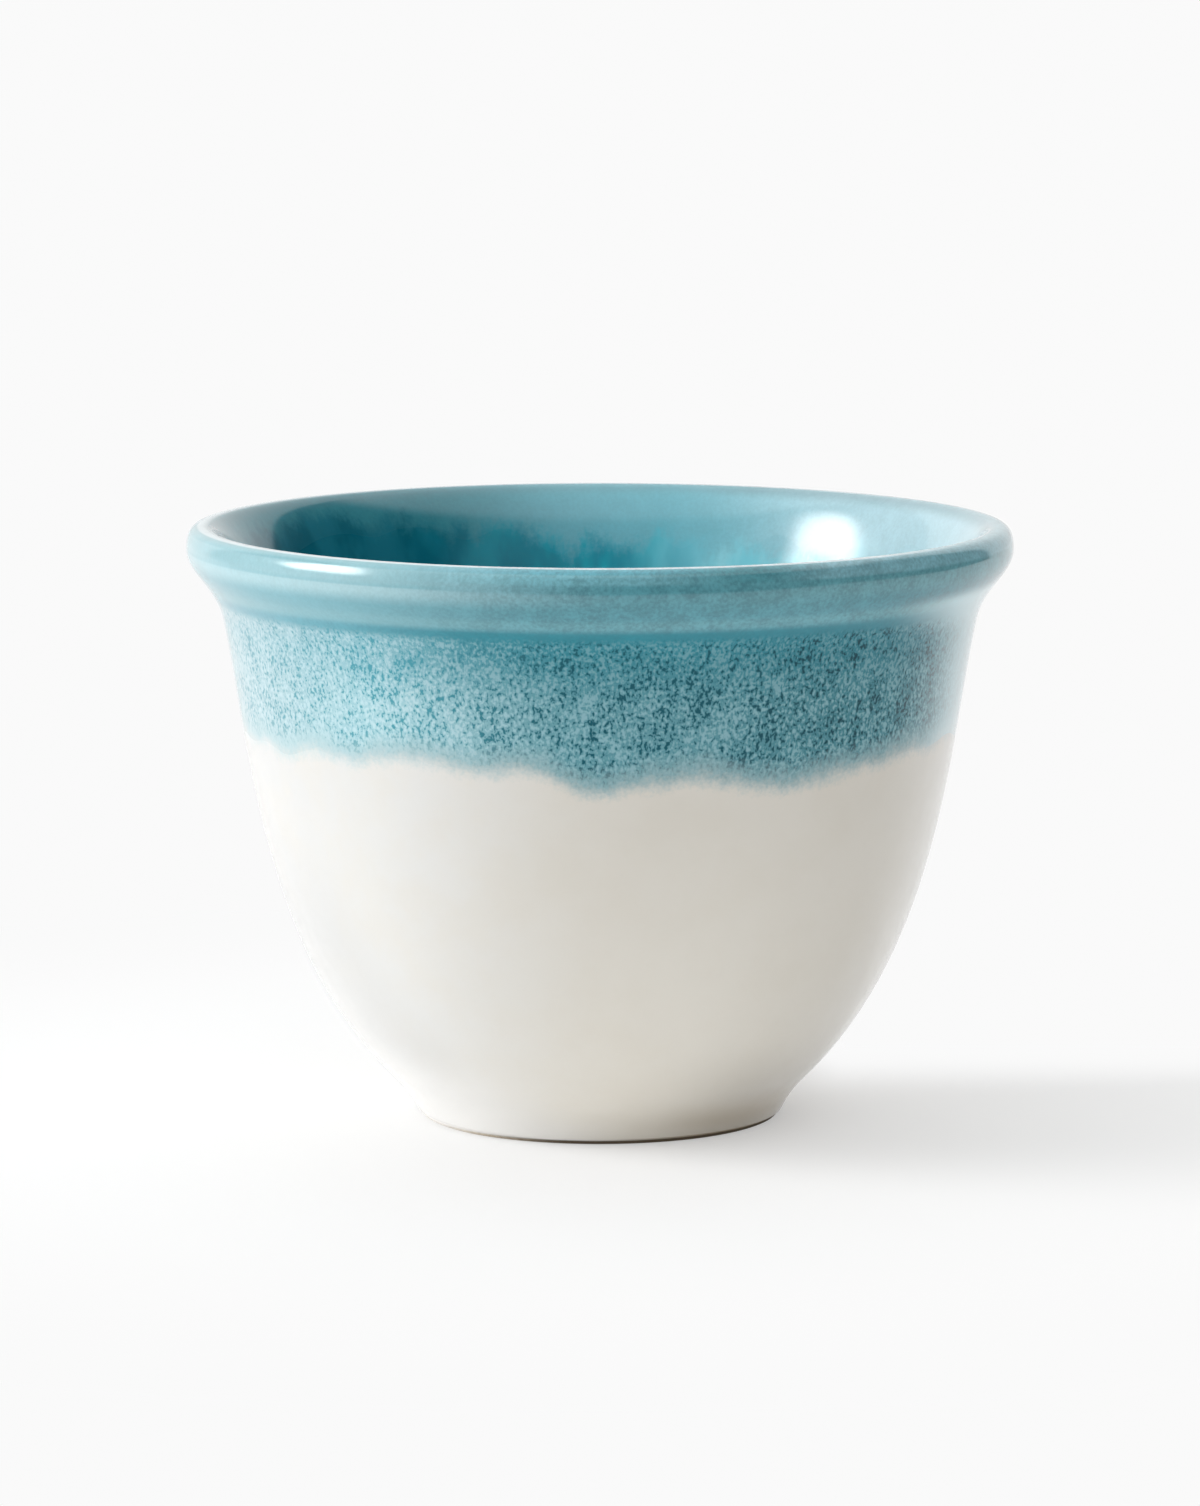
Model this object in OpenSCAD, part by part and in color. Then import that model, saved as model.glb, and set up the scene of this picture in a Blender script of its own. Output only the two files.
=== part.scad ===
// Small handleless coffee cup: thrown clay body, satin white glaze outside,
// a reactive turquoise glaze dipped over the lip and a deep teal liner glaze.
// The origin is the centre of the foot on the table and +Z points up.
// Angles round the cup are measured from the front, -Y, and grow towards +X.

/* [Cup] */
// Diameter over the widest part of the lip
rim_d = 69.8; // [62:0.2:78]
// Height from the table to the crest of the lip
cup_h = 50.4; // [47:0.1:60]
// Distance that the neck, where the body meets the collar, lies inside the lip
neck_in = 3.05; // [2.4:0.05:4]
// Diameter of the foot where its glaze begins
foot_d = 31; // [24:0.5:36]

/* [Wall] */
// Thickness of the glazed side wall
wall_t = 2.9; // [2:0.1:4]
// Thickness of the glazed floor at its centre
floor_t = 3; // [2:0.1:5]
// Thickness of every coat of glaze
glaze_t = 0.25; // [0.15:0.01:0.4]

/* [Lip] */
// Height of the collar from the neck to the crest of the lip
collar_h = 7.8; // [6:0.1:10]
// Drop from the crest of the lip to its widest part
lip_drop = 1.9; // [1.2:0.1:3]
// Distance that the crest lies inside the widest part
lip_reach = 1.6; // [1.2:0.1:3]

/* [Foot] */
// Height of the foot up to the start of the belly
foot_h = 3.8; // [3:0.1:6]
// How much further out the belly starts than the foot
foot_spread = 2.45; // [1.5:0.05:4]
// Width of the flat ring that stands on the table
ring_w = 1.8; // [1.4:0.1:3.5]
// Height of the bare rounded edge under the glaze of the foot
bare_h = 0.5; // [0.3:0.05:0.8]
// Depth of the hollow inside the foot ring
recess_h = 1.6; // [1:0.1:2.4]
// Radius of the fillet round the roof of that hollow
recess_fillet = 1; // [0.5:0.1:1.5]

/* [Glaze lines] */
// Depth to which the outside was dipped, below the crest
dip_depth = 16.4; // [12:0.1:20]
// Length of the longest run of turquoise below the dip line outside
run_len = 2.4; // [1:0.1:4]
// Depth of the turquoise inside the cup, below the crest
inner_depth = 3.1; // [2.5:0.1:4]
// Length of the longest run of turquoise below that line inside
inner_run_len = 3; // [0.5:0.1:3.5]

/* [Hidden] */

$fn = 180;

// Steepness of the curves, in degrees away from upright
belly_angle = 45;
neck_angle = 12;
foot_angle = 27;

// Handle lengths of the curves, as shares of the height that each curve spans
foot_handle_shares = [0.5, 0.4];
belly_handle_shares = [0.4, 0.27];
collar_handle_shares = [0.5, 0.32];
mouth_handle_shares = [0.18, 0.45];
// The same as shares of lip_drop and lip_reach: near 1 keeps the face of the lip upright
top_handle_shares = [0.95, 0.5];
// The same as shares of the radius that the floor spans
floor_handle_shares = [0.16, 0.62];
// Handle length that makes a quarter of an ellipse, as a share of its half axis
quarter_share = 0.5523;

// Points on each curve
foot_steps = 5;
belly_steps = 24;
collar_steps = 12;
top_steps = 8;
mouth_steps = 12;
floor_steps = 10;
corner_steps = 4;
// Points round each wavy glaze line
line_steps = 180;
// Distance that every coat and cutting shape runs past the line where it is cut
overrun = 0.5;

// Runs of the outer glaze line: angle, half width in degrees, share of run_len
outer_run_shares = [
    [-59, 6, 0.46], [-42, 5.5, 0.31], [-20, 6.5, 0.35], [-1, 7.5, 0.92],
    [9, 5.5, 0.38], [29, 14.5, 1], [49, 9, 0.38], [64, 6.5, 0.31],
    [84, 8, 0.5], [102, 6, 0.3], [118, 9, 0.75], [139, 6, 0.35],
    [158, 10, 0.9], [179, 7, 0.4], [196, 8, 0.65], [214, 6, 0.3],
    [233, 11, 0.95], [254, 6, 0.35], [271, 8, 0.6], [287, 6, 0.35]
];
// Runs of the inner glaze line: angle, half width in degrees, share of inner_run_len
inner_run_shares = [
    [-66, 7, 0.5], [-49, 5, 0.75], [-30, 8, 0.4], [-9, 6, 0.9],
    [10, 5, 0.4], [28, 9, 0.8], [49, 5, 0.5], [63, 7, 1],
    [86, 6, 0.4], [104, 8, 0.8], [125, 5, 0.5], [139, 7, 0.9],
    [154, 4, 0.6], [166, 4, 0.75], [175, 4, 0.7], [187, 6, 0.95],
    [203, 5, 0.45], [221, 4, 0.2], [243, 8, 0.35], [268, 6, 0.7]
];

rim_r = rim_d / 2;
neck_r = rim_r - neck_in;
foot_r = foot_d / 2;
neck_z = cup_h - collar_h;
lip_z = cup_h - lip_drop;
floor_z = recess_h + floor_t;
belly_h = neck_z - foot_h;
belly_start = [foot_r + foot_spread, foot_h];
neck = [neck_r, neck_z];
lip = [rim_r, lip_z];
crest = [rim_r - lip_reach, cup_h];
recess_r = foot_r - ring_w - 2 * bare_h - (1 + cos(foot_angle)) * glaze_t;

// Point at length len from p, along a line that leans out by angle a
function lean(p, a, len) = p + len * [sin(a), cos(a)];

// Point and slope of a cubic curve with the four control points c
function curve_point(c, t) =
    pow(1 - t, 3) * c[0] + 3 * pow(1 - t, 2) * t * c[1]
    + 3 * (1 - t) * pow(t, 2) * c[2] + pow(t, 3) * c[3];
function curve_slope(c, t) =
    pow(1 - t, 2) * (c[1] - c[0]) + 2 * (1 - t) * t * (c[2] - c[1])
    + pow(t, 2) * (c[3] - c[2]);
function unit(v) = v / norm(v);
// Direction that points out of the clay, for a section that is drawn from the
// middle of the underside over the lip to the middle of the floor
function outward(v) = unit([v[1], -v[0]]);

// Each stretch of the section is a list of [point of the glazed surface, outward
// direction], and each one leaves out its first point unless first is zero
function stretch(c, steps, first = 1) = [
    for (i = [first : steps]) [curve_point(c, i / steps), outward(curve_slope(c, i / steps))]
];
// The far side of a wall of thickness t behind a whole stretch, read backwards
function far_side(part, t) = [
    for (i = [len(part) - 2 : -1 : 0]) [part[i][0] - t * part[i][1], -part[i][1]]
];

foot_curve = [
    [foot_r, bare_h],
    lean([foot_r, bare_h], foot_angle, foot_handle_shares[0] * foot_h),
    lean(belly_start, belly_angle, -foot_handle_shares[1] * foot_h),
    belly_start
];
belly_curve = [
    belly_start,
    lean(belly_start, belly_angle, belly_handle_shares[0] * belly_h),
    lean(neck, neck_angle, -belly_handle_shares[1] * belly_h),
    neck
];
collar_curve = [
    neck,
    lean(neck, neck_angle, collar_handle_shares[0] * (lip_z - neck_z)),
    lip - [0, collar_handle_shares[1] * (lip_z - neck_z)],
    lip
];
top_curve = [
    lip,
    lip + [0, top_handle_shares[0] * lip_drop],
    crest + [top_handle_shares[1] * lip_reach, 0],
    crest
];

// Inner ends of the parallel wall, straight behind the neck and the start of the belly
inner_neck = neck - wall_t * [cos(neck_angle), -sin(neck_angle)];
inner_heel = belly_start - wall_t * [cos(belly_angle), -sin(belly_angle)];
mouth_curve = [
    crest,
    crest - [mouth_handle_shares[0] * collar_h, 0],
    lean(inner_neck, neck_angle, mouth_handle_shares[1] * collar_h),
    inner_neck
];
floor_curve = [
    inner_heel,
    lean(inner_heel, belly_angle, -floor_handle_shares[0] * inner_heel[0]),
    [floor_handle_shares[1] * inner_heel[0], floor_z],
    [0, floor_z]
];
recess_curve = [
    [recess_r - recess_fillet, recess_h],
    [recess_r - (1 - quarter_share) * recess_fillet, recess_h],
    [recess_r, recess_h - (1 - quarter_share) * (recess_h - bare_h)],
    [recess_r, bare_h]
];

underside = concat([[[0, recess_h], [0, -1]]], stretch(recess_curve, corner_steps, 0));
outside = concat(
    stretch(foot_curve, foot_steps, 0),
    stretch(belly_curve, belly_steps),
    stretch(collar_curve, collar_steps),
    stretch(top_curve, top_steps)
);
inside = concat(
    stretch(mouth_curve, mouth_steps),
    far_side(stretch(belly_curve, belly_steps, 0), wall_t),
    stretch(floor_curve, floor_steps)
);

// Finished surface of a stretch, and the clay under its glaze
function glazed(part) = [for (s = part) s[0]];
function clay(part) = [for (s = part) s[0] - glaze_t * s[1]];
function backwards(v) = [for (i = [len(v) - 1 : -1 : 0]) v[i]];
function above(part, z) = [for (s = part) if (s[0][1] >= z) s];
function below(part, z) = [for (s = part) if (s[0][1] <= z) s];

// Rounded corner at p between points a and b
function corner(a, p, b) = [
    for (i = [1 : corner_steps - 1])
        let (t = i / corner_steps) pow(1 - t, 2) * a + 2 * (1 - t) * t * p + pow(t, 2) * b
];

// Bare ring under the foot, from the hollow to the outside
ring_in = clay(underside)[len(underside) - 1];
ring_out = clay(outside)[0];
ring_left = [ring_in[0] + bare_h, 0];
ring_right = [ring_out[0] - bare_h, 0];
bare_ring = concat(
    corner(ring_in, [ring_in[0], 0], ring_left),
    [ring_left, ring_right],
    corner(ring_right, [ring_out[0], 0], ring_out)
);

// Smallest angle between two directions round the cup
function apart(a, b) = let (d = abs(a - b) % 360) min(d, 360 - d);
// Sum of all runs at angle a, as a share of the longest one
function run_sum(a, runs, i = 0) =
    i == len(runs) ? 0
    : runs[i][2] * exp(-pow(apart(a, runs[i][0]) / runs[i][1], 2)) + run_sum(a, runs, i + 1);
// Heights of a glaze line all round the cup
function wavy_line(z, length, runs) = [
    for (i = [0 : line_steps - 1]) z - length * run_sum(i * 360 / line_steps, runs)
];
outer_line = wavy_line(cup_h - dip_depth, run_len, outer_run_shares);
inner_line = wavy_line(cup_h - inner_depth, inner_run_len, inner_run_shares);
// Heights just below and above each line, where the coats that meet there end
outer_ends = [min(outer_line) - overrun, max(outer_line) + overrun];
inner_ends = [min(inner_line) - overrun, max(inner_line) + overrun];

// Radius in the middle of the wall at height z
function middle_r(z) =
    (lookup(z, [for (s = outside) [s[0][1], s[0][0]]])
    + lookup(z, [for (s = inside) [s[0][1], s[0][0]]])) / 2;

// Solid of one coat of glaze, as thick as glaze_t, over a stretch
module coat(part) {
    rotate_extrude() polygon(concat(glazed(part), backwards(clay(part))));
}

// Ring from the middle of the wall to radius free_r, and from a wavy line to height z_end
module wavy_ring(line, z_end, free_r) {
    n = line_steps;
    flipped = (z_end > line[0]) != (free_r > neck_r);
    function at(i, r, z) = [r * sin(i * 360 / n), -r * cos(i * 360 / n), z];
    points = [
        for (i = [0 : n - 1])
            each [
                at(i, middle_r(line[i]), line[i]), at(i, free_r, line[i]),
                at(i, free_r, z_end), at(i, middle_r(z_end), z_end)
            ]
    ];
    sides = [
        for (i = [0 : n - 1])
            let (a = 4 * i, b = 4 * ((i + 1) % n))
                each [
                    [a, a + 1, b + 1], [a, b + 1, b], [a + 1, a + 2, b + 2, b + 1],
                    [a + 2, a + 3, b + 3, b + 2], [a + 3, a, b], [a + 3, b, b + 3]
                ]
    ];
    polyhedron(points, flipped ? [for (f = sides) backwards(f)] : sides, convexity = 6);
}
module outer_ring(z_end) {
    wavy_ring(outer_line, z_end, rim_r + overrun);
}
module inner_ring(z_end) {
    wavy_ring(inner_line, z_end, neck_r / 2);
}

module clay_body() {
    color("#d9cdbb")
        rotate_extrude() polygon(concat(clay(underside), bare_ring, clay(outside), clay(inside)));
}

module white_glaze() {
    color("#e9e6e0")
        difference() {
            coat(below(outside, outer_ends[1]));
            outer_ring(outer_ends[1] + overrun);
        }
}

module turquoise_glaze() {
    color("#5f9fac")
        difference() {
            coat(concat(above(outside, outer_ends[0]), above(inside, inner_ends[0])));
            outer_ring(outer_ends[0] - overrun);
            inner_ring(inner_ends[0] - overrun);
        }
}

module liner_glaze() {
    color("#1f8797")
        difference() {
            coat(below(inside, inner_ends[1]));
            inner_ring(inner_ends[1] + overrun);
        }
}

module underside_glaze() {
    color("#e9e6e0") coat(underside);
}

clay_body();
white_glaze();
turquoise_glaze();
liner_glaze();
underside_glaze();
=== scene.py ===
"""Looks of the small coffee cup: five fired pieces, a floor, soft studio light and the camera."""

import math

import bpy
import numpy as np
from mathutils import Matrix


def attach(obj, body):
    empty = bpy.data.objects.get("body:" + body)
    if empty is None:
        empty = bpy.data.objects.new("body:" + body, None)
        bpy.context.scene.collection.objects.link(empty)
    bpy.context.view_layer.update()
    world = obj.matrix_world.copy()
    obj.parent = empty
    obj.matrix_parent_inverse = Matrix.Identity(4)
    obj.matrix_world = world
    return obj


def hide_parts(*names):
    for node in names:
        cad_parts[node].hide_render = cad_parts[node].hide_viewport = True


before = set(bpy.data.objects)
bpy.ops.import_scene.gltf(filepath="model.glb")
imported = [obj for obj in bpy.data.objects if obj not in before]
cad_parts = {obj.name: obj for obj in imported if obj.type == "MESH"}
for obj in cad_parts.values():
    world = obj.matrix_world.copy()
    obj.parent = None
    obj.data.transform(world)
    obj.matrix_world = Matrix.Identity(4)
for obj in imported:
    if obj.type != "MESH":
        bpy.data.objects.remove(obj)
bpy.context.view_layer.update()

MM = 0.001

# Sizes of the section in millimetres, the same as in the part's source
RIM_R = 34.9
CUP_H = 50.4
NECK_IN = 3.05
FOOT_R = 15.5
WALL_T = 2.9
FLOOR_T = 3.0
GLAZE_T = 0.25
COLLAR_H = 7.8
LIP_DROP = 1.9
LIP_REACH = 1.6
FOOT_H = 3.8
FOOT_SPREAD = 2.45
RING_W = 1.8
BARE_H = 0.5
RECESS_H = 1.6
RECESS_FILLET = 1.0
BELLY_ANGLE = 45.0
NECK_ANGLE = 12.0
FOOT_ANGLE = 27.0
FOOT_SHARES = (0.5, 0.4)
BELLY_SHARES = (0.4, 0.27)
COLLAR_SHARES = (0.5, 0.32)
MOUTH_SHARES = (0.18, 0.45)
TOP_SHARES = (0.95, 0.5)
FLOOR_SHARES = (0.16, 0.62)
QUARTER_SHARE = 0.5523

# Depth of the two glaze lines below the crest, and the longest run below each
DIP_DEPTH = 16.4
RUN_LEN = 2.4
INNER_DEPTH = 3.1
INNER_RUN_LEN = 3.0
# Runs of each line: angle round the cup, half width in degrees, share of the longest run
OUTER_RUNS = (
    (-59, 6, 0.46), (-42, 5.5, 0.31), (-20, 6.5, 0.35), (-1, 7.5, 0.92),
    (9, 5.5, 0.38), (29, 14.5, 1), (49, 9, 0.38), (64, 6.5, 0.31),
    (84, 8, 0.5), (102, 6, 0.3), (118, 9, 0.75), (139, 6, 0.35),
    (158, 10, 0.9), (179, 7, 0.4), (196, 8, 0.65), (214, 6, 0.3),
    (233, 11, 0.95), (254, 6, 0.35), (271, 8, 0.6), (287, 6, 0.35),
)
INNER_RUNS = (
    (-66, 7, 0.5), (-49, 5, 0.75), (-30, 8, 0.4), (-9, 6, 0.9),
    (10, 5, 0.4), (28, 9, 0.8), (49, 5, 0.5), (63, 7, 1),
    (86, 6, 0.4), (104, 8, 0.8), (125, 5, 0.5), (139, 7, 0.9),
    (154, 4, 0.6), (166, 4, 0.75), (175, 4, 0.7), (187, 6, 0.95),
    (203, 5, 0.45), (221, 4, 0.2), (243, 8, 0.35), (268, 6, 0.7),
)

# Depth below the crest where the inside turns deep teal: angle round the cup, depth
LINER_LINE = (
    (0, 3.9), (9, 4.8), (17, 3.7), (26, 5.1), (33, 4.3), (41, 3.4), (52, 4.6), (60, 3.8),
    (71, 5.2), (80, 4.0), (88, 3.3), (97, 4.4), (106, 5.3), (114, 4.1), (123, 4.7), (131, 3.9),
    (139, 4.9), (146, 5.7), (153, 4.7), (159, 5.4), (164.5, 4.5), (167, 5.2), (169.5, 3.7),
    (172, 4.5), (177, 5.3), (180.7, 4.3), (185, 5.5), (188, 4.6), (193, 3.7), (198, 2.7),
    (202, 4.1), (204, 3.3), (206.7, 3.8), (211, 2.5), (217, 2.3), (221, 2.9), (226, 1.5),
    (231, 1.3), (237, 1.2), (244, 2.1), (252, 1.6), (261, 2.8), (270, 2.3), (279, 3.6),
    (288, 2.9), (297, 4.1), (306, 3.3), (315, 4.5), (324, 3.6), (333, 4.7), (343, 3.8), (352, 4.6),
)

# Columns round the cup, steps of a curve, and rows along each coat and each corner
COLUMNS = 360
FINE = 160
WHITE_ROWS = 64
TURQUOISE_ROWS = 120
LINER_ROWS = 64
UNDER_ROWS = 24
CORNER_ROWS = 6

# Camera, in metres and degrees
CAMERA_Y = -0.58
CAMERA_Z = 0.11305
CAMERA_PITCH = 8.071
CAMERA_CLIP = 0.05
LENS_PIXELS = 6907.0
PHOTO_H = 1506
SENSOR = 36.0

# Points of the section, as radius and height
EDGE = np.array([FOOT_R, BARE_H])
START = np.array([FOOT_R + FOOT_SPREAD, FOOT_H])
NECK = np.array([RIM_R - NECK_IN, CUP_H - COLLAR_H])
LIP = np.array([RIM_R, CUP_H - LIP_DROP])
CREST = np.array([RIM_R - LIP_REACH, CUP_H])


def lean(p, angle, length):
    """Point at that length from p, along a line that leans out by the angle."""
    a = math.radians(angle)
    return np.array(p, float) + length * np.array([math.sin(a), math.cos(a)])


def stretch(controls):
    """Points and outward directions of a cubic curve."""
    t = np.linspace(0, 1, FINE + 1)[:, None]
    c = np.array(controls, float)
    points = (1 - t) ** 3 * c[0] + 3 * (1 - t) ** 2 * t * c[1]
    points = points + 3 * (1 - t) * t**2 * c[2] + t**3 * c[3]
    slope = (1 - t) ** 2 * (c[1] - c[0]) + 2 * (1 - t) * t * (c[2] - c[1])
    slope = slope + t**2 * (c[3] - c[2])
    slope = slope / np.linalg.norm(slope, axis=1)[:, None]
    return points, np.stack([slope[:, 1], -slope[:, 0]], 1)


def joined(parts):
    """One path from several stretches, without the doubled points at the joins."""
    points = np.vstack([parts[0][0]] + [p[1:] for p, _ in parts[1:]])
    normals = np.vstack([parts[0][1]] + [n[1:] for _, n in parts[1:]])
    return points, normals


def outside_stretches():
    """Foot, belly, collar and top of the lip, from the bare edge of the foot to the crest."""
    belly_h = NECK[1] - FOOT_H
    collar_rise = LIP[1] - NECK[1]
    foot = stretch([
        EDGE,
        lean(EDGE, FOOT_ANGLE, FOOT_SHARES[0] * FOOT_H),
        lean(START, BELLY_ANGLE, -FOOT_SHARES[1] * FOOT_H),
        START,
    ])
    belly = stretch([
        START,
        lean(START, BELLY_ANGLE, BELLY_SHARES[0] * belly_h),
        lean(NECK, NECK_ANGLE, -BELLY_SHARES[1] * belly_h),
        NECK,
    ])
    collar = stretch([
        NECK,
        lean(NECK, NECK_ANGLE, COLLAR_SHARES[0] * collar_rise),
        LIP - np.array([0, COLLAR_SHARES[1] * collar_rise]),
        LIP,
    ])
    top = stretch([
        LIP,
        LIP + np.array([0, TOP_SHARES[0] * LIP_DROP]),
        CREST + np.array([TOP_SHARES[1] * LIP_REACH, 0]),
        CREST,
    ])
    return foot, belly, collar, top


def inside_path(belly):
    """Mouth, wall and floor inside the cup, from the crest to the middle of the floor."""
    wall = (belly[0][::-1] - WALL_T * belly[1][::-1], -belly[1][::-1])
    inner_neck = wall[0][0]
    heel = wall[0][-1]
    floor_z = RECESS_H + FLOOR_T
    mouth = stretch([
        CREST,
        CREST - np.array([MOUTH_SHARES[0] * COLLAR_H, 0]),
        lean(inner_neck, NECK_ANGLE, MOUTH_SHARES[1] * COLLAR_H),
        inner_neck,
    ])
    floor = stretch([
        heel,
        lean(heel, BELLY_ANGLE, -FLOOR_SHARES[0] * heel[0]),
        np.array([FLOOR_SHARES[1] * heel[0], floor_z]),
        np.array([0, floor_z]),
    ])
    return joined([mouth, wall, floor])


def underside_path():
    """Roof and side of the hollow inside the foot ring, from its middle outwards."""
    glaze_across = (1 + math.cos(math.radians(FOOT_ANGLE))) * GLAZE_T
    recess_r = FOOT_R - RING_W - 2 * BARE_H - glaze_across
    bend = 1 - QUARTER_SHARE
    recess = stretch([
        np.array([recess_r - RECESS_FILLET, RECESS_H]),
        np.array([recess_r - bend * RECESS_FILLET, RECESS_H]),
        np.array([recess_r, RECESS_H - bend * (RECESS_H - BARE_H)]),
        np.array([recess_r, BARE_H]),
    ])
    roof_r = np.linspace(0, recess_r - RECESS_FILLET, FINE + 1)
    roof = np.stack([roof_r, np.full_like(roof_r, RECESS_H)], 1)
    down = np.tile([0.0, -1.0], (FINE + 1, 1))
    return joined([(roof, down), recess])


def lengths(points):
    """Distance along a path at each of its points."""
    gaps = np.linalg.norm(np.diff(points, axis=0), axis=1)
    return np.concatenate([[0], np.cumsum(gaps)])


OUTSIDE_PARTS = outside_stretches()
OUTSIDE = joined(OUTSIDE_PARTS)
INSIDE = inside_path(OUTSIDE_PARTS[1])
SKIN = joined([OUTSIDE, INSIDE])
SKIN_S = lengths(SKIN[0])
SKIN_END = SKIN_S[-1]
CREST_POINT = len(OUTSIDE[0]) - 1
CREST_S = SKIN_S[CREST_POINT]
UNDERSIDE = underside_path()
UNDERSIDE_S = lengths(UNDERSIDE[0])
ANGLES = np.arange(COLUMNS) * 360.0 / COLUMNS


def glaze_line(depth, longest, runs):
    """Height of a glaze line at each column."""
    z = np.full(COLUMNS, CUP_H - depth)
    for angle, width, part in runs:
        gap = np.abs(ANGLES - angle) % 360
        gap = np.minimum(gap, 360 - gap)
        z = z - longest * part * np.exp(-((gap / width) ** 2))
    return z


def line_places():
    """Distance along the skin of the two glaze lines and of the deep teal at each column."""
    outer_z = glaze_line(DIP_DEPTH, RUN_LEN, OUTER_RUNS)
    inner_z = glaze_line(INNER_DEPTH, INNER_RUN_LEN, INNER_RUNS)
    angle, depth = np.array(LINER_LINE).T
    teal_z = CUP_H - np.interp(ANGLES, angle, depth, period=360)
    outside_z = SKIN[0][: CREST_POINT + 1, 1]
    outside_s = SKIN_S[: CREST_POINT + 1]
    inside_drop = -SKIN[0][CREST_POINT:, 1]
    inside_s = SKIN_S[CREST_POINT:]
    outer = np.interp(outer_z, outside_z, outside_s)
    inner = np.interp(-inner_z, inside_drop, inside_s)
    teal = np.interp(-teal_z, inside_drop, inside_s)
    return outer, inner, teal


OUTER_S, INNER_S, TEAL_S = line_places()


def on_path(path, path_s, s, depth):
    """Radius and height on a path at distance s, at that depth under the surface."""
    r = np.interp(s, path_s, path[0][:, 0] - depth * path[1][:, 0])
    z = np.interp(s, path_s, path[0][:, 1] - depth * path[1][:, 1])
    return r, z


def around(r, z):
    """Points in metres round the axis for the radius and height at each column."""
    a = np.radians(ANGLES)
    r = np.broadcast_to(r, a.shape)
    z = np.broadcast_to(z, a.shape)
    return np.stack([r * np.sin(a), -r * np.cos(a), z], 1) * MM


def pole(z):
    """Row of one point on the axis at a height in metres."""
    return np.array([[0, 0, z]])


def coat_rows(start, end, count):
    """Rows of distances along the skin from one line to another."""
    t = np.linspace(0, 1, count + 1)
    start = np.broadcast_to(start, (COLUMNS,))
    end = np.broadcast_to(end, (COLUMNS,))
    return [start + (end - start) * v for v in t]


def ring_faces(rows, first):
    """Faces between each row and the next, and between the last row and the first."""
    faces = []
    for k, row in enumerate(rows):
        k2 = (k + 1) % len(rows)
        a, b = first[k], first[k2]
        from_pole = len(row) == 1
        to_pole = len(rows[k2]) == 1
        if from_pole and to_pole:
            continue
        for j in range(COLUMNS):
            j2 = (j + 1) % COLUMNS
            if from_pole:
                faces.append((a, b + j2, b + j))
            elif to_pole:
                faces.append((a + j, a + j2, b))
            else:
                faces.append((a + j, a + j2, b + j2, b + j))
    return faces


def ring_mesh(name, rows, values=None, sharp=()):
    """Closed mesh from rows of points round the axis; a row of one point is a pole."""
    counts = [len(row) for row in rows]
    first = [sum(counts[:k]) for k in range(len(rows))]
    faces = ring_faces(rows, first)
    mesh = bpy.data.meshes.new(name)
    mesh.from_pydata(np.vstack(rows).tolist(), [], faces)
    mesh.polygons.foreach_set("use_smooth", np.ones(len(faces), bool))
    for key, column in (values or {}).items():
        layer = mesh.attributes.new(key, "FLOAT", "POINT")
        layer.data.foreach_set("value", np.concatenate(column).astype(np.float32))
    if sharp:
        mark_sharp(mesh, first, sharp)
    mesh.update()
    piece = bpy.data.objects.new(name, mesh)
    bpy.context.scene.collection.objects.link(piece)
    return piece


def mark_sharp(mesh, first, sharp):
    """Marks the edges that run along the given rows as sharp."""
    row_of = np.full(len(mesh.vertices), -1)
    for k in sharp:
        row_of[first[k] : first[k] + COLUMNS] = k
    ends = np.zeros(len(mesh.edges) * 2, int)
    mesh.edges.foreach_get("vertices", ends)
    ends = ends.reshape(-1, 2)
    same = (row_of[ends[:, 0]] >= 0) & (row_of[ends[:, 0]] == row_of[ends[:, 1]])
    layer = mesh.attributes.new("sharp_edge", "BOOLEAN", "EDGE")
    layer.data.foreach_set("value", same)


def coat(name, s_rows, closed=False):
    """A coat of glaze over rows of the skin; a closed one ends in the middle of the floor."""
    shown = [around(*on_path(SKIN, SKIN_S, s, 0)) for s in s_rows]
    hidden = [around(*on_path(SKIN, SKIN_S, s, GLAZE_T)) for s in s_rows[::-1]]
    s_all = list(s_rows) + list(s_rows[::-1])
    n = len(s_rows)
    sharp = [0, n - 1, n, 2 * n - 1]
    if closed:
        shown[-1] = pole(shown[-1][0, 2])
        hidden[0] = pole(hidden[0][0, 2])
        s_all[n - 1] = s_all[n - 1][:1]
        s_all[n] = s_all[n][:1]
        sharp = [0, 2 * n - 1]
    values = {
        "above_line": [s - OUTER_S[: len(s)] for s in s_all],
        "below_line": [s - TEAL_S[: len(s)] for s in s_all],
        "past_crest": [s - CREST_S for s in s_all],
    }
    return ring_mesh(name, shown + hidden, values, sharp)


def underside_coat():
    """Glaze in the hollow inside the foot ring."""
    s_rows = np.linspace(0, UNDERSIDE_S[-1], UNDER_ROWS + 1)
    shown = [around(*on_path(UNDERSIDE, UNDERSIDE_S, s, 0)) for s in s_rows]
    hidden = [around(*on_path(UNDERSIDE, UNDERSIDE_S, s, GLAZE_T)) for s in s_rows[::-1]]
    shown[0] = pole(RECESS_H * MM)
    hidden[-1] = pole((RECESS_H + GLAZE_T) * MM)
    sharp = [UNDER_ROWS, UNDER_ROWS + 1]
    return ring_mesh("underside_glaze_coat", shown + hidden, None, sharp)


def corner(a, p, b):
    """Rounded corner at p between points a and b, without its two ends."""
    t = np.linspace(0, 1, CORNER_ROWS + 1)[1:-1, None]
    return (1 - t) ** 2 * a + 2 * (1 - t) * t * p + t**2 * b


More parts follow.
